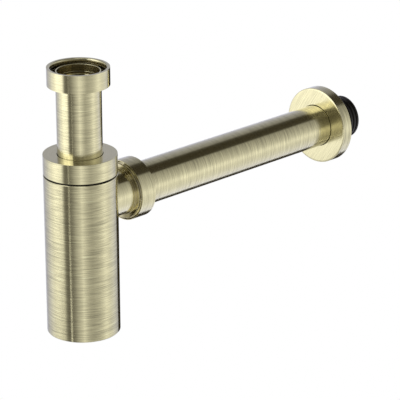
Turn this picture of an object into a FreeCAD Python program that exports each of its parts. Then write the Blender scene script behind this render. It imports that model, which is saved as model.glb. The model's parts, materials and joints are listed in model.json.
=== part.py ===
import FreeCAD
import Part
import os

# Bottle trap for a wash basin, in millimetres. +Z is up, +X runs along the outlet tube towards the wall.
# The origin is the centre of the inlet nut's mouth, where the basin waste screws in.

# Tubes
tube_r = 16.0               # inlet and outlet tube outside
tube_wall = 1.0
tube_clearance = 0.35       # round a tube that passes through a metal ring
grip_clearance = 0.05       # round a tube that a rubber ring holds
inlet_rim_depth = 2.66      # inlet tube's rim below the inlet nut's mouth
dip_clearance = 13.0        # inlet tube's lower end above the bottle's base

# Round nuts, one at the inlet and one at the outlet union
nut_height = 12.85
nut_lip = 2.5               # floor that the tube passes through
nut_bevel = 0.4
nut_room = 4.24             # from the tube to the middle height of the thread, G 1 1/4
nut_wall = 1.86             # outside that height
thread_half_height = 0.764  # from the middle height to the crests inside the nut
nut_crest_length = 2.2      # first turn of the inlet thread, left at its crests
nut_relief = 1.4            # groove where the thread runs out, and its extra radius
nut_relief_depth = 0.7
thread_clearance = 0.05     # radial play of each screwed pair
thread_bevel = 0.5

# Slip rings and cone seals, three of each
slip_thickness = 1.2
slip_width = 3.3
slip_clearance = 0.3        # round the tube
seal_rim_width = 3.35
seal_rim_height = 1.6
seal_cone_width = 2.55      # rubber at the cone's widest and narrowest part
seal_tip_width = 1.35
seal_cone_height = 3.2
seat_clearance = 0.12       # between a cone and its seat
seat_floor = 0.5            # seat's floor beyond the cone's tip

# Bottle with its cap
cap_drop = 63.2             # inlet nut's mouth to the cap's top
cap_height = 14.5
cap_top_wall = 3.0
cap_wall = 3.14             # outside the middle height of the thread, G 1 1/2
cap_recess_clearance = 0.7  # round the slip ring and seal
cap_bevel = 0.35
gasket_thickness = 0.7
gasket_inset = 0.3          # gasket's edge inside the bottle's side
bottle_r = 26.3
bottle_wall = 1.4
bottle_length = 118.35
bottle_bevel = 0.45
braze_gap = 0.05
neck_ring_depth = 8.0       # neck ring inside the bottle
neck_web = 5.5              # thickness of the web with the seal's seat
neck_skirt_wall = 2.2
base_thickness = 3.0
base_skirt_height = 7.0
base_skirt_wall = 1.8
base_bevel = 0.3

# Outlet branch and union
outlet_drop = 22.55         # bottle's rim to the outlet's axis
neck_oversize = 0.87        # neck's radius beyond the tube's
neck_wall = 1.4
neck_length = 8.7           # smooth neck outside the bottle's side
thread_showing = 3.55       # from the threaded ring's shoulder to the nut
shoulder_step = 1.49        # shoulder's radius below the thread's
shoulder_length = 0.9
lead_bevel = 1.1            # start of the outlet thread
socket_depth = 3.2          # neck inside the threaded ring
tube_end_gap = 0.3          # outlet tube's end from the neck's end

# Wall flange and connector
outlet_reach = 191.05       # union nut's end to the flange's front
flange_r = 29.4
flange_depth = 9.12
flange_face_wall = 1.6
flange_rim_wall = 1.5
flange_bevel = 0.35
hub_wall = 3.4
hub_length = 6.6
grip_section_r = 1.0        # rubber grip ring in the hub's groove
grip_groove_gap = 0.06
grip_groove_width = 2.3
grip_groove_start = 2.6     # from the flange's front
tube_past_flange = 4.5      # outlet tube's end behind the flange's front
connector_length = 23.65    # behind the flange
connector_wall = 2.25       # round the connector's bore, inside the tube
connector_core_inset = 0.25  # barrel's radius below the tube's
connector_plug_length = 16.0
rib_rise = 0.56             # ribs' radius beyond the tube's
rib_crest = 1.5
rib_flank = 0.45
rib_pitch = 3.4
rib_count = 6
connector_nose = 0.7        # plain end beyond the last rib

# Places that follow from the sizes
UP = FreeCAD.Vector(0, 0, 1)
DOWN = FreeCAD.Vector(0, 0, -1)
TO_WALL = FreeCAD.Vector(1, 0, 0)
TO_BOTTLE = FreeCAD.Vector(-1, 0, 0)

ring_bore_r = tube_r + tube_clearance
tube_bore_r = tube_r - tube_wall
seal_bore_r = tube_r + grip_clearance
seal_rim_r = seal_bore_r + seal_rim_width
seal_cone_r = seal_bore_r + seal_cone_width
seal_tip_r = seal_bore_r + seal_tip_width
slip_bore_r = tube_r + slip_clearance
slip_r = slip_bore_r + slip_width
nut_thread_r = tube_r + nut_room
nut_crest_r = nut_thread_r - thread_half_height
nut_r = nut_thread_r + nut_wall
seal_height = seal_rim_height + seal_cone_height
packing_height = slip_thickness + seal_rim_height

cap_top_z = -cap_drop
cap_ceiling_z = cap_top_z - cap_top_wall
neck_mouth_z = cap_ceiling_z - packing_height
cap_bottom_z = cap_top_z - cap_height
bottle_top_z = cap_bottom_z - gasket_thickness
bottle_bottom_z = bottle_top_z - bottle_length
base_top_z = bottle_bottom_z + base_thickness
bottle_bore_r = bottle_r - bottle_wall
outlet_z = bottle_top_z - outlet_drop
cap_thread_r = bottle_r - cap_wall
cap_recess_r = slip_r + cap_recess_clearance
neck_thread_r = cap_thread_r - thread_clearance

neck_r = tube_r + neck_oversize
ring_start_x = bottle_r + neck_length
union_mouth_x = ring_start_x + thread_showing
union_end_x = union_mouth_x + nut_height
union_lip_x = union_end_x - nut_lip
ring_mouth_x = union_lip_x - packing_height
neck_end_x = ring_start_x + socket_depth
ring_thread_r = nut_thread_r - thread_clearance
shoulder_r = ring_thread_r - shoulder_step
outlet_tube_start_x = neck_end_x + tube_end_gap
flange_front_x = union_end_x + outlet_reach
flange_back_x = flange_front_x + flange_depth
outlet_tube_end_x = flange_front_x + tube_past_flange
connector_end_x = flange_back_x + connector_length
connector_plug_r = tube_bore_r - grip_clearance
connector_bore_r = connector_plug_r - connector_wall
connector_core_r = tube_r - connector_core_inset
rib_r = tube_r + rib_rise


def turned(corners):
    """Solid of revolution about Z. A corner is (radius, height) or (radius, height, bevel)."""
    points = []
    for i, corner in enumerate(corners):
        here = FreeCAD.Vector(corner[0], 0, corner[1])
        bevel = corner[2] if len(corner) > 2 else 0
        if bevel == 0:
            points.append(here)
            continue
        for neighbour in (corners[i - 1], corners[(i + 1) % len(corners)]):
            side = FreeCAD.Vector(neighbour[0], 0, neighbour[1]) - here
            points.append(here + side.normalize() * bevel)
    outline = Part.makePolygon(points + points[:1])
    return Part.Face(outline).revolve(FreeCAD.Vector(0, 0, 0), UP, 360)


def placed(shape, towards, x=0.0, z=0.0):
    """A copy whose own +Z points the given way and whose own origin is at x, z."""
    copy = shape.copy()
    turn = FreeCAD.Rotation(UP, towards)
    copy.Placement = FreeCAD.Placement(FreeCAD.Vector(x, 0, z), turn)
    return copy


def pipe(outer_r, wall, length):
    """Plain tube standing on z = 0."""
    bore = outer_r - wall
    return turned([(bore, 0), (outer_r, 0), (outer_r, length), (bore, length)])


def round_nut(crest_length):
    """Round nut with its mouth at z = 0 and its lip below."""
    floor = -nut_height + nut_lip
    relief_top = floor + nut_relief
    relief_r = nut_thread_r + nut_relief_depth
    corners = [
        (ring_bore_r, -nut_height, nut_bevel),
        (nut_r, -nut_height, nut_bevel),
        (nut_r, 0, nut_bevel),
    ]
    if crest_length > 0:
        corners += [(nut_crest_r, 0), (nut_crest_r, -crest_length)]
        corners += [(nut_thread_r, -crest_length)]
    else:
        corners += [(nut_thread_r, 0, nut_bevel)]
    corners += [
        (nut_thread_r, relief_top),
        (relief_r, relief_top),
        (relief_r, floor),
        (ring_bore_r, floor),
    ]
    return turned(corners)


def slip_ring():
    """Flat ring that lets a nut turn without dragging the seal. It stands on z = 0."""
    return turned([
        (slip_bore_r, 0),
        (slip_r, 0),
        (slip_r, slip_thickness),
        (slip_bore_r, slip_thickness),
    ])


def cone_seal():
    """Rubber seal with its rim on z = 0 and its cone above."""
    return turned([
        (seal_bore_r, 0),
        (seal_rim_r, 0),
        (seal_rim_r, seal_rim_height),
        (seal_cone_r, seal_rim_height),
        (seal_tip_r, seal_height),
        (seal_bore_r, seal_height),
    ])


def seat_corners(mouth):
    """Corners of a cone seat that opens upwards at the height mouth, from the mouth inwards."""
    tip = mouth - seal_cone_height
    floor = tip - seat_floor
    tip_r = seal_tip_r + seat_clearance
    return [
        (seal_cone_r + seat_clearance, mouth),
        (tip_r, tip),
        (tip_r, floor),
        (ring_bore_r, floor),
    ]


def top_cap():
    """Cap that presses the tube's seal into the neck and closes the bottle."""
    thread_top = neck_mouth_z + seat_floor
    return turned([
        (ring_bore_r, cap_top_z),
        (bottle_r, cap_top_z, cap_bevel),
        (bottle_r, cap_bottom_z, cap_bevel),
        (cap_thread_r, cap_bottom_z),
        (cap_thread_r, thread_top),
        (cap_recess_r, thread_top),
        (cap_recess_r, cap_ceiling_z),
        (ring_bore_r, cap_ceiling_z),
    ])


def cap_gasket():
    """Flat rubber ring that shows as the dark line under the cap."""
    inner = cap_thread_r + thread_clearance
    outer = bottle_r - gasket_inset
    return turned([
        (inner, bottle_top_z),
        (outer, bottle_top_z),
        (outer, cap_bottom_z),
        (inner, cap_bottom_z),
    ])


def neck_ring():
    """Threaded neck brazed into the bottle's top, hollow below its web."""
    outer = bottle_bore_r - braze_gap
    bottom = bottle_top_z - neck_ring_depth
    web_bottom = neck_mouth_z - neck_web
    skirt_bore = neck_thread_r - neck_skirt_wall
    return turned(seat_corners(neck_mouth_z) + [
        (ring_bore_r, web_bottom),
        (skirt_bore, web_bottom),
        (skirt_bore, bottom),
        (outer, bottom),
        (outer, bottle_top_z),
        (neck_thread_r, bottle_top_z),
        (neck_thread_r, neck_mouth_z, thread_bevel),
    ])


def bottle_shell():
    """Drawn tube with the round hole that the outlet neck passes through."""
    shell = turned([
        (bottle_bore_r, bottle_bottom_z),
        (bottle_r, bottle_bottom_z, bottle_bevel),
        (bottle_r, bottle_top_z, cap_bevel),
        (bottle_bore_r, bottle_top_z),
    ])
    hole = Part.makeCylinder(neck_r + braze_gap, bottle_r * 2)
    return shell.cut(placed(hole, TO_WALL, 0, outlet_z))


def bottle_base():
    """Turned cup brazed flush into the bottle's lower end."""
    outer = bottle_bore_r - braze_gap
    skirt_top = base_top_z + base_skirt_height
    skirt_bore = outer - base_skirt_wall
    return turned([
        (0, bottle_bottom_z),
        (outer, bottle_bottom_z, base_bevel),
        (outer, skirt_top),
        (skirt_bore, skirt_top),
        (skirt_bore, base_top_z),
        (0, base_top_z),
    ])


def outlet_neck():
    """Branch tube whose inner end is coped to the bottle's bore."""
    neck = placed(pipe(neck_r, neck_wall, neck_end_x), TO_WALL, 0, outlet_z)
    bore = Part.makeCylinder(bottle_bore_r, bottle_length)
    return neck.cut(placed(bore, UP, 0, bottle_bottom_z))


def union_ring():
    """Threaded ring brazed over the neck's end, with the seat for the outlet seal in its mouth."""
    length = ring_mouth_x - ring_start_x
    socket_r = neck_r + braze_gap
    return turned(seat_corners(length) + [
        (ring_bore_r, socket_depth),
        (socket_r, socket_depth),
        (socket_r, 0),
        (shoulder_r, 0, nut_bevel),
        (shoulder_r, shoulder_length),
        (ring_thread_r, shoulder_length, lead_bevel),
        (ring_thread_r, length, thread_bevel),
    ])


def wall_flange():
    """Turned cover plate, hollow behind, with a hub that carries the grip ring."""
    hub_r = ring_bore_r + hub_wall
    groove_r = seal_bore_r + 2 * grip_section_r + grip_groove_gap
    groove_end = grip_groove_start + grip_groove_width
    return turned([
        (ring_bore_r, 0),
        (flange_r, 0, flange_bevel),
        (flange_r, flange_depth),
        (flange_r - flange_rim_wall, flange_depth),
        (flange_r - flange_rim_wall, flange_face_wall),
        (hub_r, flange_face_wall),
        (hub_r, hub_length),
        (ring_bore_r, hub_length),
        (ring_bore_r, groove_end),
        (groove_r, groove_end),
        (groove_r, grip_groove_start),
        (ring_bore_r, grip_groove_start),
    ])


def flange_grip_ring():
    """Rubber ring that keeps the flange where it is pushed on the tube."""
    middle_r = seal_bore_r + grip_section_r
    height = grip_groove_start + grip_groove_width / 2
    return Part.makeTorus(middle_r, grip_section_r, FreeCAD.Vector(0, 0, height), UP)


def wall_connector():
    """Rubber connector: a plug inside the outlet tube and a ribbed barrel for the pipe in the wall."""
    start = outlet_tube_end_x - connector_plug_length
    corners = [
        (connector_bore_r, start),
        (connector_plug_r, start, rib_flank),
        (connector_plug_r, outlet_tube_end_x),
        (connector_core_r, outlet_tube_end_x),
    ]
    first_rib = connector_end_x - connector_nose - rib_count * rib_pitch
    for i in range(rib_count):
        rise = first_rib + i * rib_pitch + rib_pitch - rib_crest - 2 * rib_flank
        crest = rise + rib_flank
        corners += [
            (connector_core_r, rise),
            (rib_r, crest),
            (rib_r, crest + rib_crest),
            (connector_core_r, crest + rib_crest + rib_flank),
        ]
    corners += [
        (connector_core_r, connector_end_x, rib_flank),
        (connector_bore_r, connector_end_x),
    ]
    return turned(corners)


def trap_pieces():
    """Every separate piece by name, where it sits in the assembled trap."""
    inlet_lip_z = -nut_height + nut_lip
    inlet_seal_z = inlet_lip_z + slip_thickness
    inlet_length = base_top_z + dip_clearance + inlet_rim_depth
    outlet_length = outlet_tube_end_x - outlet_tube_start_x
    outlet_tube = pipe(tube_r, tube_wall, outlet_length)
    seal_z = cap_ceiling_z - slip_thickness
    seal_x = union_lip_x - slip_thickness
    return {
        "inlet_nut": round_nut(nut_crest_length),
        "inlet_slip_ring": placed(slip_ring(), UP, 0, inlet_lip_z),
        "inlet_seal": placed(cone_seal(), UP, 0, inlet_seal_z),
        "inlet_tube": placed(pipe(tube_r, tube_wall, -inlet_length), DOWN, 0, -inlet_rim_depth),
        "top_cap": top_cap(),
        "top_slip_ring": placed(slip_ring(), DOWN, 0, cap_ceiling_z),
        "tube_seal": placed(cone_seal(), DOWN, 0, seal_z),
        "cap_gasket": cap_gasket(),
        "neck_ring": neck_ring(),
        "bottle_shell": bottle_shell(),
        "bottle_base": bottle_base(),
        "outlet_neck": outlet_neck(),
        "union_ring": placed(union_ring(), TO_WALL, ring_start_x, outlet_z),
        "union_seal": placed(cone_seal(), TO_BOTTLE, seal_x, outlet_z),
        "union_slip_ring": placed(slip_ring(), TO_BOTTLE, union_lip_x, outlet_z),
        "union_nut": placed(round_nut(0), TO_BOTTLE, union_mouth_x, outlet_z),
        "outlet_tube": placed(outlet_tube, TO_WALL, outlet_tube_start_x, outlet_z),
        "wall_flange": placed(wall_flange(), TO_WALL, flange_front_x, outlet_z),
        "flange_grip_ring": placed(flange_grip_ring(), TO_WALL, flange_front_x, outlet_z),
        "wall_connector": placed(wall_connector(), TO_WALL, 0, outlet_z),
    }


os.makedirs("parts", exist_ok=True)
for name, shape in trap_pieces().items():
    print(name, round(shape.Volume), "mm3")
    shape.exportStep("parts/" + name + ".step")
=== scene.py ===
import json
import math
import bpy
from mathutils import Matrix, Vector

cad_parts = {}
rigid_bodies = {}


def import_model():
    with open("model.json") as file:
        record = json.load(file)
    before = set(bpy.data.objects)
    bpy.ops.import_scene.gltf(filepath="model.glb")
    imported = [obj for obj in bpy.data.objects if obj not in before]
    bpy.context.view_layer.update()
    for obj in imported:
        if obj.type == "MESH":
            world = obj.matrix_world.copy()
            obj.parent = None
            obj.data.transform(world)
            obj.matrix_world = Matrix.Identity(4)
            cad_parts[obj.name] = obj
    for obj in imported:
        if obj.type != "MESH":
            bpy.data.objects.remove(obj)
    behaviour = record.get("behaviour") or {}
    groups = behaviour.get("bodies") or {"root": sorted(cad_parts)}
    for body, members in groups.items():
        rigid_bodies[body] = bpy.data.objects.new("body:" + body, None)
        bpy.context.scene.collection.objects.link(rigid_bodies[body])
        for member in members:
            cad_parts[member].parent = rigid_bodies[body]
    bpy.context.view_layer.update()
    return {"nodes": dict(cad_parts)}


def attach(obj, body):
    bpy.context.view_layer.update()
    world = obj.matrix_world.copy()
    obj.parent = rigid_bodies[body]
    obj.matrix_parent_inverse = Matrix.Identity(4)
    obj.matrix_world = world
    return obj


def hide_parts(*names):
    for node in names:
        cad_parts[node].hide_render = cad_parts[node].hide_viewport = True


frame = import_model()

nodes = frame["nodes"]
mm = 0.001


# camera, at the photo's angle
camera = {
    "place": (-0.9420, -1.0868, 0.4479),
    "turn": (69.167, 0.123, -44.301),
    "lens": 196.38,
    "sensor": 36,
    "nearest": 0.05,
}

cameraData = bpy.data.cameras.new("camera")
cameraData.lens = camera["lens"]
cameraData.sensor_width = camera["sensor"]
cameraData.clip_start = camera["nearest"]
cameraObject = bpy.data.objects.new("camera", cameraData)
cameraObject.location = camera["place"]
cameraObject.rotation_euler = [math.radians(angle) for angle in camera["turn"]]
bpy.context.scene.collection.objects.link(cameraObject)
bpy.context.scene.camera = cameraObject
bpy.context.scene.view_settings.view_transform = "Standard"
print("camera set")


# nodes are wired by hand below, these only save typing
def addNode(tree, kind, place, **settings):
    node = tree.nodes.new(kind)
    node.location = place
    for name, value in settings.items():
        setattr(node, name, value)
    return node


def emptyTree(owner):
    owner.use_nodes = True
    owner.node_tree.nodes.clear()
    return owner.node_tree


# a number, vector or colour is set on the socket itself, another node's output is linked to it
def fill(tree, socket, value):
    if isinstance(value, (int, float, tuple)):
        socket.default_value = value
    else:
        tree.links.new(value, socket)


def mathNode(tree, place, operation, *values):
    node = addNode(tree, "ShaderNodeMath", place, operation=operation)
    for socket, value in zip(node.inputs, values):
        fill(tree, socket, value)
    return node.outputs[0]


def vectorNode(tree, place, operation, *values):
    node = addNode(tree, "ShaderNodeVectorMath", place, operation=operation)
    for socket, value in zip(node.inputs, values):
        fill(tree, socket, value)
    return node.outputs["Value"] if operation in ("DOT_PRODUCT", "LENGTH") else node.outputs[0]


def scaleNode(tree, place, vector, scale):
    node = addNode(tree, "ShaderNodeVectorMath", place, operation="SCALE")
    fill(tree, node.inputs[0], vector)
    fill(tree, node.inputs["Scale"], scale)
    return node.outputs[0]


def rangeNode(tree, place, value, start=(0, 1), end=(0, 1), smooth=False):
    kind = "SMOOTHSTEP" if smooth else "LINEAR"
    node = addNode(tree, "ShaderNodeMapRange", place, interpolation_type=kind)
    for name, level in zip(("From Min", "From Max", "To Min", "To Max"), (*start, *end)):
        node.inputs[name].default_value = level
    tree.links.new(value, node.inputs["Value"])
    return node.outputs[0]


def mixNode(tree, place, kind, factor, first, second, **settings):
    node = addNode(tree, "ShaderNodeMix", place, data_type=kind, **settings)
    for name, value in zip(("Factor", "A", "B"), (factor, first, second)):
        fill(tree, node.inputs[name], value)
    return node.outputs["Result"]


def rampNode(tree, place, value, stops):
    ramp = addNode(tree, "ShaderNodeValToRGB", place)
    elements = ramp.color_ramp.elements
    elements[0].position, elements[1].position = stops[0][0], stops[-1][0]
    elements[0].color = (stops[0][1],) * 3 + (1,)
    elements[1].color = (stops[-1][1],) * 3 + (1,)
    for position, level in stops[1:-1]:
        elements.new(position).color = (level,) * 3 + (1,)
    tree.links.new(value, ramp.inputs[0])
    return ramp.outputs[0]


# studio: soft light from all round, seen in the metal. Azimuths, heights and sizes are in degrees
studio = {
    # azimuth and level
    "walls": [
        (0, 0.55), (42, 0.77), (60, 0.56), (82, 0.44), (97, 0.57), (109, 0.64), (119, 0.74),
        (129, 0.70), (137, 0.65), (146, 0.57), (160, 0.50), (166, 0.47), (171, 0.40), (178, 0.17),
        (186, 0.11), (197, 0.20), (203, 0.28), (214, 0.45), (226, 0.66), (231, 0.80), (237, 0.72),
        (243, 0.58), (249, 0.49), (261, 0.40), (279, 0.50), (292, 0.66), (300, 0.80), (307, 0.87),
        (323, 0.73), (342, 0.71), (360, 0.50),
    ],
    # height and level
    "heights": [
        (-90, 0.80), (-62, 1.0), (-52, 1.38), (-40, 1.06), (-26, 0.99), (-19, 1.04), (-13, 1.13), (-6, 1.06),
        (1, 0.86), (8, 0.72), (20, 0.57), (32, 0.46), (42, 0.34), (60, 0.32), (90, 0.45),
    ],
    # azimuth and level, with the heights where the lamp starts and is full
    "lampSides": [
        (0, 0), (108, 0), (120, 0.16), (130, 0.34), (140, 0.80), (146, 1.0), (161, 1.0), (167, 0.94),
        (171, 0.44), (176, 0), (360, 0),
    ],
    "lampLevel": 1.04,
    "lampHeights": (-27.5, -14.0),
    # a narrow upright light, with the heights where it starts and is full
    "stripPlace": 190.3,
    "stripSize": 3.8,
    "stripLevel": 1.6,
    "stripHeights": (-22.5, -26.5),
    # azimuth, height, size, soft edge and level: boxes add light and flags take it
    "boxes": [
        (180, 24, 11.5, 2.5, 1.2), (245, -13, 7, 4, 0.10), (171, -13, 5, 4, 0.12), (220, 62, 14, 6, 0.5),
        (6, -50, 7, 4, 0.22),
    ],
    "flags": [
        (-10, 58, 22.2, 3.5, 0.09), (32, -32, 23, 1.5, 0.02), (14, -14, 11, 3, 0.05), (226, 22, 20, 7, 0.4),
        (165, -31, 10, 3, 0.80), (200, -30, 8, 3, 0.74), (245, -32, 11, 3, 0.84),
    ],
    "warmDark": (0.020, 0.014, 0.002),
    # the white sweep behind, seen in the edges: azimuth, height, size and soft edge
    "sweep": (46, -20, 58, 28),
    "sweepTint": (0.975, 0.992, 1.18),
    "floorHeight": -0.262,
    "floorSize": 30,
}
white = (1, 1, 1, 1)


def towards(azimuth, height):
    a, h = math.radians(azimuth), math.radians(height)
    return (math.cos(a) * math.cos(h), math.sin(a) * math.cos(h), math.sin(h))


def sines(angles):
    return [math.sin(math.radians(angle)) for angle in angles]


# one level inside a round patch of the studio, another outside
def spotNode(tree, place, direction, patch, outside, within):
    azimuth, height, size, soft = patch
    facing = vectorNode(tree, place, "DOT_PRODUCT", direction, towards(azimuth, height))
    edge = [math.cos(math.radians(angle)) for angle in (size + soft, size - soft)]
    return rangeNode(tree, (place[0] + 180, place[1]), facing, edge, (outside, within), smooth=True)


world = bpy.data.worlds.new("studio")
bpy.context.scene.world = world
tree = emptyTree(world)
direction = addNode(tree, "ShaderNodeTexCoord", (-1400, 0)).outputs["Generated"]
split = addNode(tree, "ShaderNodeSeparateXYZ", (-1200, 0))
tree.links.new(direction, split.inputs[0])
azimuth = mathNode(tree, (-1020, 150), "ARCTAN2", split.outputs["Y"], split.outputs["X"])
turns = mathNode(tree, (-860, 150), "DIVIDE", azimuth, 2 * math.pi)
turns = mathNode(tree, (-700, 150), "FRACT", turns)
height = mathNode(tree, (-1020, -150), "ARCSINE", split.outputs["Z"])
height = mathNode(tree, (-860, -150), "MULTIPLY_ADD", height, 1 / math.pi, 0.5)

# the walls' level all round, times the level at each height
walls = rampNode(tree, (-520, 200), turns, [(a / 360, level) for a, level in studio["walls"]])
heights = rampNode(tree, (-520, -100), height, [(h / 180 + 0.5, level) for h, level in studio["heights"]])
light = mathNode(tree, (-200, 100), "MULTIPLY", walls, heights)

# the large lamp
sides = rampNode(tree, (-520, -400), turns, [(a / 360, level) for a, level in studio["lampSides"]])
rising = rangeNode(tree, (-300, -300), split.outputs["Z"], sines(studio["lampHeights"]), smooth=True)
lamp = mathNode(tree, (-140, -400), "MULTIPLY", sides, rising)
lamp = mathNode(tree, (0, -400), "MULTIPLY", lamp, studio["lampLevel"])
light = mathNode(tree, (40, 100), "ADD", light, lamp)

# the narrow strip
away = mathNode(tree, (-520, -900), "SUBTRACT", turns, studio["stripPlace"] / 360)
away = mathNode(tree, (-360, -900), "ABSOLUTE", away)
strip = rangeNode(tree, (-200, -900), away, (studio["stripSize"] / 360, 0), smooth=True)
below = rangeNode(tree, (-200, -1150), split.outputs["Z"], sines(studio["stripHeights"]), smooth=True)
strip = mathNode(tree, (0, -900), "MULTIPLY", strip, below)
strip = mathNode(tree, (160, -900), "MULTIPLY", strip, studio["stripLevel"])
light = mathNode(tree, (200, 100), "ADD", light, strip)

for row, (*patch, level) in enumerate(studio["boxes"]):
    box = spotNode(tree, (-520, -1400 - 160 * row), direction, patch, 0, level)
    light = mathNode(tree, (250, -1400 - 160 * row), "ADD", light, box)
for row, (*patch, level) in enumerate(studio["flags"]):
    flag = spotNode(tree, (-520, -2300 - 160 * row), direction, patch, 1, level)
    light = mathNode(tree, (300, -2300 - 160 * row), "MULTIPLY", light, flag)

# tints, with plain white behind the trap in the picture
behind = spotNode(tree, (-160, -3500), direction, studio["sweep"], 0, 1)
cooler = mixNode(tree, (200, -3500), "RGBA", behind, white, studio["sweepTint"] + (1,))
warmed = mixNode(tree, (460, 0), "RGBA", light, studio["warmDark"] + (1,), cooler, clamp_factor=False)
seen = addNode(tree, "ShaderNodeLightPath", (360, 400)).outputs["Is Camera Ray"]
shown = mixNode(tree, (660, 200), "RGBA", seen, warmed, white)
background = addNode(tree, "ShaderNodeBackground", (860, 200))
tree.links.new(shown, background.inputs["Color"])
output = addNode(tree, "ShaderNodeOutputWorld", (1060, 200))
tree.links.new(background.outputs[0], output.inputs[0])

# white floor under the trap, open from below
bpy.ops.object.select_all(action="DESELECT")
bpy.ops.mesh.primitive_plane_add(size=studio["floorSize"], location=(0, 0, studio["floorHeight"]))
floor = bpy.context.object
floor.name = "floor"
floor.visible_glossy = False
floorMaterial = bpy.data.materials.new("paleFloor")
tree = emptyTree(floorMaterial)
glow = addNode(tree, "ShaderNodeEmission", (0, 0))
glow.inputs["Color"].default_value = white
clear = addNode(tree, "ShaderNodeBsdfTransparent", (0, -150))
underneath = addNode(tree, "ShaderNodeNewGeometry", (0, 250))
oneSided = addNode(tree, "ShaderNodeMixShader", (200, 0))
tree.links.new(underneath.outputs["Backfacing"], oneSided.inputs[0])
tree.links.new(glow.outputs[0], oneSided.inputs[1])
tree.links.new(clear.outputs[0], oneSided.inputs[2])
output = addNode(tree, "ShaderNodeOutputMaterial", (400, 0))
tree.links.new(oneSided.outputs[0], output.inputs[0])
floor.data.materials.append(floorMaterial)
print("studio set")


def newGroup(name, inputs, outputs):
    group = bpy.data.node_groups.new(name, "ShaderNodeTree")
    for label, kind in inputs.items():
        group.interface.new_socket(label, in_out="INPUT", socket_type="NodeSocket" + kind)
    for label in outputs:
        group.interface.new_socket(label, in_out="OUTPUT", socket_type="NodeSocketFloat")
    return group


# where a turned piece's surface is: its flat faces, its inside, and how far along and out it lies
turnedSlopes = {
    "flat": (0.6, 0.85),            # the normal along the axis, where flat starts and is full
    "inside": (-0.97, -0.995),      # the normal away from the axis, where inside starts and is full
}


def turnedZonesGroup():
    vectors = {"Place": "Vector", "Normal": "Vector", "Axis": "Vector"}
    group = newGroup("turnedZones", vectors, ["Flat", "Inside", "Across"])
    start = addNode(group, "NodeGroupInput", (-900, 0))
    end = addNode(group, "NodeGroupOutput", (700, 0))
    place, normal, axis = [start.outputs[name] for name in vectors]
    along = vectorNode(group, (-650, 200), "DOT_PRODUCT", place, axis)
    onAxis = scaleNode(group, (-450, 200), axis, along)
    outwards = vectorNode(group, (-250, 200), "SUBTRACT", place, onAxis)
    radius = vectorNode(group, (-50, 300), "LENGTH", outwards)
    facing = vectorNode(group, (-650, -100), "DOT_PRODUCT", normal, axis)
    facing = mathNode(group, (-450, -100), "ABSOLUTE", facing)
    flat = rangeNode(group, (-250, -100), facing, turnedSlopes["flat"], smooth=True)
    straightOut = vectorNode(group, (-250, 50), "NORMALIZE", outwards)
    leaning = vectorNode(group, (-50, 100), "DOT_PRODUCT", straightOut, normal)
    inside = rangeNode(group, (150, 0), leaning, turnedSlopes["inside"], smooth=True)
    across = mixNode(group, (350, 200), "FLOAT", flat, along, radius)
    for name, value in {"Flat": flat, "Inside": inside, "Across": across}.items():
        group.links.new(value, end.inputs[name])
    return group


# strokes of the brush: long one way, fine across it
strokes = {
    # name, how much longer and finer than the broad ones, detail and seed
    "layers": [("broad", 1.0, 1.0, 3.0, 0.0), ("hair", 1.7, 2.6, 2.0, 7.3)],
    "roughness": 0.6,
    "tone": (0.62, 1.38),
}


def brushStrokesGroup():
    inputs = {"Place": "Vector", "Across": "Float", "Long": "Float", "Fine": "Float"}
    group = newGroup("brushStrokes", inputs, ["Tone", "Height"])
    start = addNode(group, "NodeGroupInput", (-1100, 0))
    end = addNode(group, "NodeGroupOutput", (300, 0))
    layers = []
    for name, longer, finer, detail, seed in strokes["layers"]:
        y = -400 * len(layers)
        length = mathNode(group, (-900, y), "MULTIPLY", start.outputs["Long"], longer)
        stretched = scaleNode(group, (-700, y), start.outputs["Place"], length)
        fine = mathNode(group, (-900, y - 180), "MULTIPLY", start.outputs["Fine"], finer)
        fine = mathNode(group, (-700, y - 180), "MULTIPLY", start.outputs["Across"], fine)
        fine = mathNode(group, (-550, y - 180), "ADD", fine, seed)
        noise = addNode(group, "ShaderNodeTexNoise", (-400, y), noise_dimensions="4D", label=name)
        noise.inputs["Scale"].default_value = 1.0
        noise.inputs["Detail"].default_value = detail
        noise.inputs["Roughness"].default_value = strokes["roughness"]
        group.links.new(stretched, noise.inputs["Vector"])
        group.links.new(fine, noise.inputs["W"])
        layers.append(noise.outputs["Fac"])
    both = mathNode(group, (-200, 0), "ADD", *layers)
    tone = rangeNode(group, (0, 100), both, strokes["tone"])
    group.links.new(tone, end.inputs["Tone"])
    group.links.new(both, end.inputs["Height"])
    return group


turnedZones = turnedZonesGroup()
brushStrokes = brushStrokesGroup()

brass = {
    "tint": (0.82, 0.762, 0.472),
    # painted shade: a darker brown brass for the walls that face the axis, where the bores lie in shadow
    "paintedInsideShade": (0.42, 0.345, 0.15),
    "middleTone": 0.55,
    "toneChange": 1.12,
    "roughness": (0.19, 0.11),      # in the dark strokes and in the light ones
    "insideRoughness": 0.3,
    "insideMetal": 0.9,
    "strokesAcross": 1450,          # strokes for each metre across the brush
    "strokesAlong": 55,
    "relief": 0.42,
    "reliefDepth": 0.05,
    "grainSlope": 0.72,             # faces this square to the axis are brushed straight
    "anisotropy": 0.85,
    "anisotropyTurn": 0.25,
    "lacquer": 1.0,
    "lacquerRoughness": 0.15,
    "lacquerIor": 1.55,
}


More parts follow.
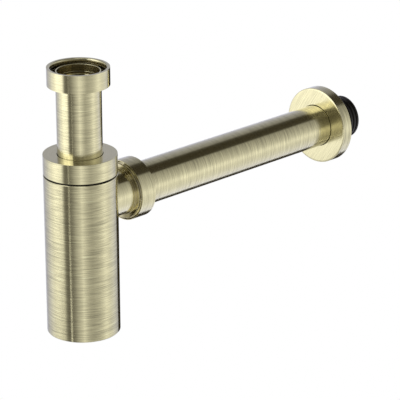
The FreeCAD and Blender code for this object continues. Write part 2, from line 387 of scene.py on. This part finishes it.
# the brush runs round the axis, and over flat faces along grain where that is given
def brassMaterial(name, axis, centre, grain=None, tint=brass["tint"], lines=1.0, flatLines=0.25,
                  flatRoughness=0.85):
    material = bpy.data.materials.new(name)
    tree = emptyTree(material)
    texture = addNode(tree, "ShaderNodeTexCoord", (-1700, 0))
    normal = texture.outputs["Normal"]
    place = vectorNode(tree, (-1500, 0), "SUBTRACT", texture.outputs["Object"], centre)
    zones = addNode(tree, "ShaderNodeGroup", (-1300, 200), node_tree=turnedZones)
    tree.links.new(place, zones.inputs["Place"])
    tree.links.new(normal, zones.inputs["Normal"])
    zones.inputs["Axis"].default_value = axis
    flat, inside, across = zones.outputs["Flat"], zones.outputs["Inside"], zones.outputs["Across"]
    around = vectorNode(tree, (-1300, -550), "CROSS_PRODUCT", axis, place)
    if grain:
        crossways = tuple(Vector(axis).cross(Vector(grain)).normalized())
        straight = vectorNode(tree, (-1300, 0), "DOT_PRODUCT", place, crossways)
        across = mixNode(tree, (-1120, 0), "FLOAT", flat, across, straight)
        facing = vectorNode(tree, (-1500, -750), "DOT_PRODUCT", normal, axis)
        facing = mathNode(tree, (-1300, -750), "ABSOLUTE", facing)
        facing = mathNode(tree, (-1120, -750), "GREATER_THAN", facing, brass["grainSlope"])
        around = mixNode(tree, (-950, -600), "VECTOR", facing, around, grain)
    brush = addNode(tree, "ShaderNodeGroup", (-950, 0), node_tree=brushStrokes)
    tree.links.new(place, brush.inputs["Place"])
    tree.links.new(across, brush.inputs["Across"])
    brush.inputs["Long"].default_value = brass["strokesAlong"]
    brush.inputs["Fine"].default_value = brass["strokesAcross"]

    # colour: the strokes' tone, fainter on flat faces, over painted shade inside: a darker tint on the walls
    # that face the axis
    fainter = rangeNode(tree, (-950, 300), flat, end=(lines, flatLines))
    middled = mathNode(tree, (-780, 200), "SUBTRACT", brush.outputs["Tone"], brass["middleTone"])
    middled = mathNode(tree, (-620, 200), "MULTIPLY", middled, fainter)
    shade = mathNode(tree, (-460, 200), "MULTIPLY_ADD", middled, brass["toneChange"], 1.0)
    metal = mixNode(tree, (-460, 400), "RGBA", inside, tint + (1,), brass["paintedInsideShade"] + (1,))
    tinted = scaleNode(tree, (-280, 300), metal, shade)

    # gloss
    rough = rangeNode(tree, (-620, -50), brush.outputs["Tone"], end=brass["roughness"])
    calmer = rangeNode(tree, (-620, -300), flat, end=(1.0, flatRoughness))
    rough = mathNode(tree, (-440, -100), "MULTIPLY", rough, calmer)
    rough = mixNode(tree, (-260, -50), "FLOAT", inside, rough, brass["insideRoughness"])
    metallic = rangeNode(tree, (-100, 100), inside, end=(1.0, brass["insideMetal"]))

    # relief and the way the brush goes
    outside = mathNode(tree, (-780, -450), "SUBTRACT", 1.0, inside)
    height = mathNode(tree, (-780, -620), "MULTIPLY", brush.outputs["Height"], fainter)
    height = mathNode(tree, (-620, -520), "MULTIPLY", height, outside)
    relief = addNode(tree, "ShaderNodeBump", (-440, -450))
    relief.inputs["Strength"].default_value = brass["relief"]
    relief.inputs["Distance"].default_value = brass["reliefDepth"] * mm
    tree.links.new(height, relief.inputs["Height"])
    turned = addNode(tree, "ShaderNodeVectorTransform", (-440, -700), vector_type="VECTOR")
    turned.convert_from, turned.convert_to = "OBJECT", "WORLD"
    tree.links.new(around, turned.inputs[0])

    surface = addNode(tree, "ShaderNodeBsdfPrincipled", (100, 100))
    surface.inputs["Anisotropic"].default_value = brass["anisotropy"]
    surface.inputs["Anisotropic Rotation"].default_value = brass["anisotropyTurn"]
    surface.inputs["Coat Weight"].default_value = brass["lacquer"]
    surface.inputs["Coat Roughness"].default_value = brass["lacquerRoughness"]
    surface.inputs["Coat IOR"].default_value = brass["lacquerIor"]
    tree.links.new(tinted, surface.inputs["Base Color"])
    tree.links.new(metallic, surface.inputs["Metallic"])
    tree.links.new(rough, surface.inputs["Roughness"])
    tree.links.new(relief.outputs[0], surface.inputs["Normal"])
    tree.links.new(turned.outputs[0], surface.inputs["Tangent"])
    output = addNode(tree, "ShaderNodeOutputMaterial", (400, 100))
    tree.links.new(surface.outputs[0], output.inputs[0])
    return material


# the outlet's height, and where its nut and ring sit along it
outletHeight = -100.95
unionNutMouth, unionRingFoot = 38.55, 35.0
upright = dict(axis=(0, 0, 1), centre=(0, 0, 0))
lying = dict(axis=(1, 0, 0), centre=(0, 0, outletHeight * mm))
brassUpright = brassMaterial("brassUpright", **upright)
brassTube = brassMaterial("brassTube", **upright, tint=(0.85, 0.79, 0.49), lines=0.75)
brassCap = brassMaterial("brassCap", **upright, tint=(0.85, 0.79, 0.49), lines=0.6)
brassNut = brassMaterial("brassNut", **upright, lines=0.4)
# painted shade: a dark copy of the brass for the inlet nut's thread, in the shadow of its mouth
brassPaintedShade = brassMaterial("brassPaintedShade", **upright, tint=(0.36, 0.31, 0.16), lines=0.3)
brassLevel = brassMaterial("brassLevel", **lying, lines=0.75)
brassNeck = brassMaterial("brassNeck", **lying, lines=0.4)
# painted shade: a darker copy of the brass for the union ring, which lies in the shadow between the neck and
# the nut
brassShadedThread = brassMaterial("brassShadedThread", **lying, tint=(0.65, 0.59, 0.37), lines=0.5)
# painted shade: a near black copy of the brass for the union nut's thread, the dark gap inside its mouth
brassPaintedDeepShade = brassMaterial("brassPaintedDeepShade", **lying, tint=(0.20, 0.17, 0.08), lines=0.3)
brassFlange = brassMaterial("brassFlange", **lying, grain=(0, -0.54, 0.84), flatLines=0.45, flatRoughness=1.0)

plain = {"detail": 3.0, "toneChange": 0.2, "roughnessChange": 0.06}


def plainMaterial(name, colour, roughness, speckle, gloss=0.5):
    material = bpy.data.materials.new(name)
    material.use_nodes = True
    tree = material.node_tree
    surface = tree.nodes["Principled BSDF"]
    grain = addNode(tree, "ShaderNodeTexNoise", (-700, 0))
    grain.inputs["Scale"].default_value = speckle
    grain.inputs["Detail"].default_value = plain["detail"]
    place = addNode(tree, "ShaderNodeTexCoord", (-900, 0)).outputs["Object"]
    tree.links.new(place, grain.inputs["Vector"])
    darker = tuple(c * (1 - plain["toneChange"]) for c in colour) + (1,)
    lighter = tuple(c * (1 + plain["toneChange"]) for c in colour) + (1,)
    shade = mixNode(tree, (-450, 100), "RGBA", grain.outputs["Fac"], darker, lighter)
    tree.links.new(shade, surface.inputs["Base Color"])
    smoother, rougher = roughness - plain["roughnessChange"], roughness + plain["roughnessChange"]
    rough = rangeNode(tree, (-450, -150), grain.outputs["Fac"], end=(smoother, rougher))
    tree.links.new(rough, surface.inputs["Roughness"])
    surface.inputs["Specular IOR Level"].default_value = gloss
    return material


rubber = plainMaterial("blackRubber", (0.010, 0.008, 0.007), 0.32, 900, gloss=0.35)
gasketRubber = plainMaterial("gasketRubber", (0.006, 0.005, 0.003), 0.6, 900, gloss=0.08)
nylon = plainMaterial("whiteNylon", (0.80, 0.79, 0.74), 0.5, 700)
print("materials made")


# lengths here and below are in mm, angles in degrees
turning = {
    "segments": 128, "join": 0.002, "sliver": 0.001,
    "bevelSteps": 3, "bevelFrom": 30, "smoothUpTo": 32,
}


def applyModifier(piece, name, kind, **settings):
    modifier = piece.modifiers.new(name, kind)
    for setting, value in settings.items():
        setattr(modifier, setting, value)
    bpy.ops.object.modifier_apply(modifier=name)


# bevels that meet and boolean cuts leave crumbs and faces without area, so only the body itself stays
def dropSlivers(piece):
    bpy.ops.object.mode_set(mode="EDIT")
    bpy.ops.mesh.select_mode(type="VERT")
    bpy.ops.mesh.select_all(action="SELECT")
    bpy.ops.mesh.remove_doubles(threshold=turning["sliver"] * mm)
    bpy.ops.mesh.dissolve_degenerate(threshold=turning["sliver"] * mm)
    bpy.ops.mesh.delete_loose(use_faces=False)
    bpy.ops.mesh.select_all(action="DESELECT")
    bpy.ops.object.mode_set(mode="OBJECT")
    largest = max(piece.data.polygons, key=lambda face: face.area)
    for corner in largest.vertices:
        piece.data.vertices[corner].select = True
    bpy.ops.object.mode_set(mode="EDIT")
    bpy.ops.mesh.select_linked()
    bpy.ops.mesh.select_all(action="INVERT")
    bpy.ops.mesh.delete(type="VERT")
    bpy.ops.object.mode_set(mode="OBJECT")


# a turned ring: a circle is drawn out and widened from corner to corner, then its edges are broken
def turnRing(name, outline, edge=0.0):
    bpy.ops.object.select_all(action="DESELECT")
    radius, height = outline[0]
    bpy.ops.mesh.primitive_circle_add(vertices=turning["segments"], radius=radius * mm, fill_type="NOTHING",
                                      location=(0, 0, height * mm))
    ring = bpy.context.object
    ring.name = ring.data.name = name
    bpy.ops.object.transform_apply(location=True, rotation=True, scale=True)
    bpy.ops.object.mode_set(mode="EDIT")
    bpy.ops.mesh.select_all(action="SELECT")
    for corner, following in zip(outline, outline[1:] + outline[:1]):
        rise = (following[1] - corner[1]) * mm
        wider = following[0] / corner[0]
        bpy.ops.mesh.extrude_region_move(TRANSFORM_OT_translate={"value": (0, 0, rise)})
        bpy.ops.transform.resize(value=(wider, wider, 1), center_override=(0, 0, following[1] * mm))
    bpy.ops.mesh.select_all(action="SELECT")
    bpy.ops.mesh.remove_doubles(threshold=turning["join"] * mm)
    bpy.ops.mesh.normals_make_consistent(inside=False)
    bpy.ops.object.mode_set(mode="OBJECT")
    if edge:
        applyModifier(ring, "broken edges", "BEVEL", width=edge * mm, segments=turning["bevelSteps"],
                      limit_method="ANGLE", angle_limit=math.radians(turning["bevelFrom"]))
        dropSlivers(ring)
    return ring


# a quarter of an ellipse: how far outwards and how far down each corner lies, from the top inwards
def roundedCorners(wide, deep, steps):
    turns = [math.radians(90 * step / steps) for step in range(steps + 1)]
    return [(wide * (1 - math.sin(turn)), deep * (1 - math.cos(turn))) for turn in turns]


# pipe thread: a V with a rounded crest is screwed round, closed, and trimmed to the turned blank
pipeThread = {
    "pitch": 2.309,
    "depth": 0.9605,        # of the sharp V, in pitches
    "rounding": 0.264,      # of the crest, in pitches
    "roundingSteps": 4,
    "foot": 0.98,           # width of the V, in pitches
    "crest": 0.739,         # height over the middle, and depth under it
    "sunk": 0.25,           # how far the thread runs into its ring
    "steps": 72,
}
crest, sunk = pipeThread["crest"], pipeThread["sunk"]


def screwThread(name, piece, blank, inside=False):
    middle, start, turns = piece["thread"], piece["threadStart"], piece["turns"]
    side = -1 if inside else 1
    pitch = pipeThread["pitch"]
    sharpDepth = pipeThread["depth"] * pitch
    size = sharpDepth / 1.5         # from the V's middle to its corners
    bpy.ops.object.select_all(action="DESELECT")
    bpy.ops.mesh.primitive_circle_add(vertices=3, radius=size * mm, fill_type="NGON",
                                      rotation=(math.pi / 2, math.pi / 2 * side, 0))
    thread = bpy.context.object
    thread.name = thread.data.name = name
    bpy.ops.object.transform_apply(location=True, rotation=True, scale=True)
    bpy.ops.object.mode_set(mode="EDIT")
    bpy.ops.mesh.select_mode(type="VERT")
    wider = pipeThread["foot"] * pitch / (size * math.sqrt(3))
    bpy.ops.transform.resize(value=(1, 1, wider), center_override=(0, 0, 0))
    bpy.ops.mesh.select_all(action="DESELECT")
    bpy.ops.object.mode_set(mode="OBJECT")
    for corner in thread.data.vertices:
        corner.select = corner.co.x * side > 0
    bpy.ops.object.mode_set(mode="EDIT")
    bpy.ops.mesh.bevel(offset=pipeThread["rounding"] * pitch * mm, segments=pipeThread["roundingSteps"],
                       affect="VERTICES")
    bpy.ops.mesh.select_all(action="SELECT")
    triangleMiddle = middle - side * sharpDepth / 6         # so that half the V's height lies at middle
    bpy.ops.transform.translate(value=(triangleMiddle * mm, 0, start * mm))
    bpy.ops.mesh.delete(type="ONLY_FACE")
    bpy.ops.object.mode_set(mode="OBJECT")
    applyModifier(thread, "helix", "SCREW", axis="Z", screw_offset=pitch * mm, iterations=turns,
                  steps=pipeThread["steps"], render_steps=pipeThread["steps"])
    bpy.ops.object.mode_set(mode="EDIT")
    bpy.ops.mesh.select_all(action="DESELECT")
    bpy.ops.mesh.select_non_manifold(extend=False, use_wire=False, use_boundary=True, use_multi_face=False,
                                     use_non_contiguous=False, use_verts=False)
    bpy.ops.mesh.edge_face_add()
    bpy.ops.mesh.select_all(action="SELECT")
    bpy.ops.mesh.normals_make_consistent(inside=False)
    bpy.ops.object.mode_set(mode="OBJECT")
    applyModifier(thread, "trimmed", "BOOLEAN", operation="INTERSECT", solver="EXACT", object=blank)
    bpy.data.objects.remove(blank)
    dropSlivers(thread)
    return thread


# an outer thread rises out of its core over leadIn and sinks into it again over leadOut
def outerThread(name, piece, foot, mouth):
    leadIn, leadOut = piece["leadIn"], piece["leadOut"]
    core, tip = piece["thread"] - crest, piece["thread"] + crest
    blank = turnRing(name + "Blank", [
        (core - sunk, foot + leadIn[0]), (core, foot + leadIn[0]), (tip, foot + leadIn[1]),
        (tip, mouth - leadOut[0]), (core, mouth - leadOut[1]), (core - sunk, mouth - leadOut[1]),
    ])
    return screwThread(name + "Thread", piece, blank)


# the thread joins its ring, and the piece goes where the CAD has it
def finishPiece(ring, thread, material, body, node, turn=0.0, place=(0, 0, 0), slot="brushed_brass",
                threadMaterial=None):
    bpy.ops.object.select_all(action="DESELECT")
    ring.select_set(True)
    bpy.context.view_layer.objects.active = ring
    ring.data.materials.clear()
    ring.data.materials.append(material)
    if thread:
        thread.data.materials.clear()
        thread.data.materials.append(threadMaterial or material)
        thread.select_set(True)
        bpy.ops.object.join()
    ring.rotation_euler = (0, math.radians(turn), 0)
    ring.location = [value * mm for value in place]
    bpy.ops.object.transform_apply(location=True, rotation=True, scale=True)
    bpy.ops.object.shade_smooth_by_angle(angle=math.radians(turning["smoothUpTo"]))
    applyModifier(ring, "flush shading", "WEIGHTED_NORMAL", keep_sharp=True)
    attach(ring, body)
    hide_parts(node)
    print(ring.name, "made")


# round nuts of the inlet and the union, mouth upwards at height 0
nut = {
    "outside": 22.1, "height": 12.85, "lip": 2.5, "hole": 16.35, "edge": 0.35,
    "thread": 20.24, "threadStart": -10.304, "runOut": 1.4, "turns": 5,
    "relief": 0.12, "clear": 0.1,                           # groove behind the thread, and its gap to it
    "mouthCrest": 2.3, "mouthRounding": (0.9, 2.0, 6),      # the inlet's rounded lip
    "mouth": 21.65, "mouthDepth": 2.4, "mouthSlope": 0.3,   # the union's counterbore
    "leadIn": (0.2, 1.3), "leadSkin": 0.05,                 # its thread's start, full depth, first height
}


def turnNut(name, crestAtMouth):
    inner, root = nut["thread"] - crest, nut["thread"] + crest
    outer = root + sunk
    floor = nut["lip"] - nut["height"]
    groove = floor + nut["runOut"]
    outline = [(nut["hole"], -nut["height"]), (nut["outside"], -nut["height"]), (nut["outside"], 0)]
    if crestAtMouth:
        top = -nut["mouthCrest"]
        outline += [(inner + wide, -deep) for wide, deep in roundedCorners(*nut["mouthRounding"])]
        outline += [(inner, top), (root, top)]
        mouth = [(outer, top), (inner, top)]
    else:
        top = -nut["mouthDepth"]
        outline += [(nut["mouth"], 0), (nut["mouth"], top + nut["mouthSlope"]), (root, top)]
        start, full = [top - depth for depth in nut["leadIn"]]
        mouth = [(outer, start), (root - nut["leadSkin"], start), (inner, full)]
    relieved = root + nut["relief"]
    outline += [(root, groove), (relieved, groove), (relieved, floor), (nut["hole"], floor)]
    ring = turnRing(name, outline, nut["edge"])
    foot = groove + nut["clear"]
    blank = turnRing(name + "Blank", [(inner, foot), (outer, foot)] + mouth)
    return ring, screwThread(name + "Thread", nut, blank, inside=True)


# their threads take dark brass: painted shade in the inlet nut's mouth and in the union nut's gap
inletNut = turnNut("threadedInletNut", True)
finishPiece(*inletNut, brassNut, "inlet_nut", "inlet_nut", threadMaterial=brassPaintedShade)
unionNut = turnNut("threadedUnionNut", False)
finishPiece(*unionNut, brassLevel, "union_nut", "union_nut", -90, (unionNutMouth, 0, outletHeight),
            threadMaterial=brassPaintedDeepShade)

# inlet tube, its rim rounded, with two beads rolled into it below the rim
tube = {
    "outside": 16.0, "bore": 15.0, "rim": -2.66, "end": -180.75, "rounding": (0.32, 0.32, 3),
    "beads": [(-8.05, 0.12, 0.3), (-10.25, 0.3, 0.7)],      # height, how far it stands in, half its length
}


def turnTube(name):
    bore, outside, rim = tube["bore"], tube["outside"], tube["rim"]
    rounded = roundedCorners(*tube["rounding"])
    outline = [(bore, tube["end"]), (outside, tube["end"])]
    outline += [(outside - wide, rim - deep) for wide, deep in reversed(rounded)]
    outline += [(bore + wide, rim - deep) for wide, deep in rounded]
    for height, rise, half in tube["beads"]:
        outline += [(bore, height + half), (bore - rise, height), (bore, height - half)]
    return turnRing(name, outline)


finishPiece(turnTube("beadedTube"), None, brassTube, "inlet_tube", "inlet_tube")

# seat of a cone seal: it narrows from the mouth, then steps in to the bore
seat = {"mouth": 18.72, "tip": 17.52, "depth": 3.2, "step": 0.5, "bore": 16.35}


def seatCorners(top):
    foot = top - seat["depth"]
    step = foot - seat["step"]
    return [(seat["mouth"], top), (seat["tip"], foot), (seat["tip"], step), (seat["bore"], step)]


# threaded ring on the outlet neck, its hub at height 0 and the seat for the seal at the top
unionRing = {
    "length": 11.1, "hub": 17.5, "hubEnd": 1.9, "shoulder": 20.3, "shoulderEnd": 2.9,
    "thread": 20.19, "threadStart": -2.309, "turns": 7, "leadIn": (0, 1.1), "leadOut": (0.9, 0.1),
    "socket": 16.92, "socketDepth": 3.2, "edge": 0.2,
}


def turnUnionRing(name):
    core = unionRing["thread"] - crest
    top = unionRing["length"]
    hubEnd, shoulderEnd = unionRing["hubEnd"], unionRing["shoulderEnd"]
    socketEnd = unionRing["socketDepth"]
    ring = turnRing(name, [
        (unionRing["socket"], 0), (unionRing["hub"], 0), (unionRing["hub"], hubEnd),
        (unionRing["shoulder"], hubEnd), (unionRing["shoulder"], shoulderEnd), (core, shoulderEnd),
        (core, top), *seatCorners(top), (seat["bore"], socketEnd), (unionRing["socket"], socketEnd),
    ], unionRing["edge"])
    return ring, outerThread(name, unionRing, shoulderEnd, top)


unionRingParts = turnUnionRing("threadedUnionRing")
# the ring takes the darker brass: painted shade under the union nut
finishPiece(*unionRingParts, brassShadedThread, "bottle", "union_ring", 90, (unionRingFoot, 0, outletHeight))

# neck that the cap screws on, brazed into the bottle, with the seat of the tube's seal in its mouth
neck = {
    "mouth": -69.0, "top": -78.4, "bottom": -86.4, "outside": 24.85, "web": -74.5, "skirt": 20.91,
    "thread": 23.11, "threadStart": -80.5, "turns": 6, "leadIn": (0.9, 1.7), "leadOut": (0.9, 0.1),
    "edge": 0.2,
}


def turnNeck(name):
    core = neck["thread"] - crest
    ring = turnRing(name, [
        (neck["outside"], neck["bottom"]), (neck["outside"], neck["top"]), (core, neck["top"]),
        (core, neck["mouth"]), *seatCorners(neck["mouth"]), (seat["bore"], neck["web"]),
        (neck["skirt"], neck["web"]), (neck["skirt"], neck["bottom"]),
    ], neck["edge"])
    return ring, outerThread(name, neck, neck["top"], neck["mouth"])


finishPiece(*turnNeck("threadedNeck"), brassUpright, "bottle", "neck_ring")

# cap on the bottle
cap = {
    "top": -63.2, "bottom": -77.2, "outside": 26.3, "hole": 16.35, "ceiling": -66.15, "recess": 20.3,
    "thread": 23.16, "threadTop": -68.5, "threadStart": -79.3455, "turns": 6, "edge": 0.2,
    "flare": 0.1, "clear": (0.2, 0.5),      # how much wider the mouth is, the thread's gap at each end
    "leadIn": 1.4, "leadSkin": 0.05,        # where the thread is full, its height where it starts
}


def turnCap(name):
    inner, root = cap["thread"] - crest, cap["thread"] + crest
    ring = turnRing(name, [
        (cap["hole"], cap["top"]), (cap["outside"], cap["top"]), (cap["outside"], cap["bottom"]),
        (root + cap["flare"], cap["bottom"]), (root, cap["threadTop"]), (cap["recess"], cap["threadTop"]),
        (cap["recess"], cap["ceiling"]), (cap["hole"], cap["ceiling"]),
    ], cap["edge"])
    foot, end = cap["bottom"] + cap["clear"][0], cap["threadTop"] - cap["clear"][1]
    blank = turnRing(name + "Blank", [
        (inner, cap["bottom"] + cap["leadIn"]), (root - cap["leadSkin"], foot), (root + sunk, foot),
        (root + sunk, end), (inner, end),
    ])
    return ring, screwThread(name + "Thread", cap, blank, inside=True)


finishPiece(*turnCap("threadedCap"), brassCap, "top_cap", "top_cap")

# rubber under the cap, the dark line round the bottle
gasket = {"bottom": -78.4, "bore": 23.95, "outside": 26.0}
softGasket = turnRing("softGasket", [
    (gasket["bore"], gasket["bottom"]), (gasket["outside"], gasket["bottom"]),
    (gasket["outside"], cap["bottom"]), (gasket["bore"], cap["bottom"]),
])
finishPiece(softGasket, None, gasketRubber, "cap_gasket", "cap_gasket", slot="black_rubber")

# cover plate at the wall: front rolled off towards the rim, hollow behind, its hub grooved for the grip ring
flange = {
    "front": 242.45, "depth": 9.12, "outside": 29.4, "bore": 16.35, "hub": 19.75, "hubLength": 6.6,
    "faceWall": 1.6, "rimWall": 1.5, "groove": (2.6, 4.9), "grooveRadius": 17.91, "edge": 0.2,
    "rollOff": [(28.0, 0), (28.4, 0.015), (28.8, 0.07), (29.15, 0.16), (29.4, 0.26)],
}


def turnFlange(name):
    inner = flange["outside"] - flange["rimWall"]
    start, end = flange["groove"]
    return turnRing(name, [
        (flange["bore"], 0), *flange["rollOff"], (flange["outside"], flange["depth"]),
        (inner, flange["depth"]), (inner, flange["faceWall"]), (flange["hub"], flange["faceWall"]),
        (flange["hub"], flange["hubLength"]), (flange["bore"], flange["hubLength"]), (flange["bore"], end),
        (flange["grooveRadius"], end), (flange["grooveRadius"], start), (flange["bore"], start),
    ], flange["edge"])


finishPiece(turnFlange("turnedFlange"), None, brassFlange, "wall_flange", "wall_flange", 90,
            (flange["front"], 0, outletHeight))
print("threaded and turned pieces made")


# CAD pieces that keep their shape get their finish
finishes = {
    brassUpright: ["bottle_shell", "bottle_base"],
    brassLevel: ["outlet_tube"],
    brassNeck: ["outlet_neck"],
    rubber: ["wall_connector"],
    gasketRubber: ["inlet_seal", "tube_seal", "union_seal", "flange_grip_ring"],
    nylon: ["inlet_slip_ring", "top_slip_ring", "union_slip_ring"],
}
for finish, names in finishes.items():
    for name in names:
        nodes[name].data.materials.clear()
        nodes[name].data.materials.append(finish)
print("CAD pieces finished")
